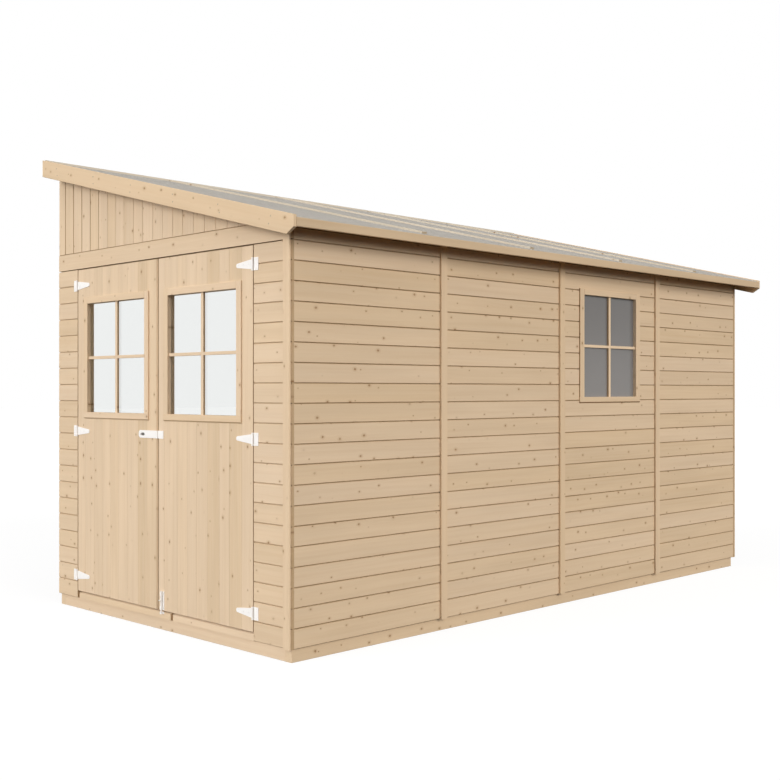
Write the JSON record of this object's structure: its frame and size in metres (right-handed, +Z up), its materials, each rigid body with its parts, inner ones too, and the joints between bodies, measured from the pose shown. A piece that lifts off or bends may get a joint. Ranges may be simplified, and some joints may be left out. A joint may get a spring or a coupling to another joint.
{
  "type": "lean-to garden shed with double doors",
  "caption": "Timber lean-to garden shed with a felted mono-pitch roof, glazed double doors in one gable, a side window and an open high rear side.",
  "frame": {"origin": "middle of the shed's outline on the ground", "axes": "+X along the low wall away from the door gable, -Y towards the low side, +Y towards the open high side, +Z up"},
  "size_m": [4.06, 2.097, 2.4251],
  "materials": {
    "wall_boards": "bare planed spruce boards",
    "door_boards": "bare planed spruce boards, upright",
    "trim_timber": "bare planed spruce trim",
    "frame_timber": "bare sawn spruce",
    "floor_timber": "bare planed spruce boards",
    "roof_felt": "grey mineral roofing felt",
    "window_glass": "clear flat glass",
    "white_metal": "white coated steel"
  },
  "bodies": {
    "root": {"base_frame": "frame_timber", "floor_boards": "floor_timber", "front_panel_1": "wall_boards", "front_panel_2": "wall_boards", "front_panel_3": "wall_boards", "front_panel_4": "wall_boards", "front_frames": "frame_timber", "window_frame": "frame_timber", "cover_strips": "trim_timber", "door_gable_front_boards": "wall_boards", "door_gable_rear_boards": "wall_boards", "door_header": "wall_boards", "door_gable_top_boards": "wall_boards", "door_sill": "wall_boards", "door_frame_front": "frame_timber", "door_frame_rear": "frame_timber", "door_threshold": "frame_timber", "door_frame_top": "frame_timber", "far_gable_boards": "wall_boards", "far_gable_frame": "frame_timber", "rear_beam": "frame_timber", "rear_post": "frame_timber", "centre_rafter": "frame_timber", "purlins": "frame_timber", "roof_deck": "frame_timber", "roof_felt": "roof_felt", "roof_battens": "trim_timber", "barge_boards": "trim_timber", "eave_fascia": "trim_timber", "wall_window_casing": "trim_timber", "wall_window_glass": "window_glass", "hinge_plates": "white_metal", "bolt_keeper": "white_metal"},
    "right_leaf": {"right_door": "door_boards", "right_door_bracing": "frame_timber", "right_door_casing": "trim_timber", "right_door_glass": "window_glass", "right_door_straps": "white_metal", "hasp_plate": "white_metal", "drop_bolt_case": "white_metal"},
    "left_leaf": {"left_door": "door_boards", "left_door_bracing": "frame_timber", "left_door_casing": "trim_timber", "left_door_glass": "window_glass", "left_door_straps": "white_metal", "hasp_flap": "white_metal", "hasp_staple": "white_metal"},
    "bolt": {"drop_bolt_rod": "white_metal"}
  },
  "joints": [
    {"name": "right_leaf_hinge", "type": "hinge", "parent": "root", "child": "right_leaf", "pos_m": [-1.936, -0.6585, 0.956], "axis": [0, 0, 1], "range_deg": [0, 165]},
    {"name": "left_leaf_hinge", "type": "hinge", "parent": "root", "child": "left_leaf", "pos_m": [-1.936, 0.8495, 0.956], "axis": [0, 0, -1], "range_deg": [0, 165]},
    {"name": "drop_bolt_slide", "type": "slide", "parent": "right_leaf", "child": "bolt", "axis": [0, 0, -1], "range_m": [0, 0.02]}
  ]
}
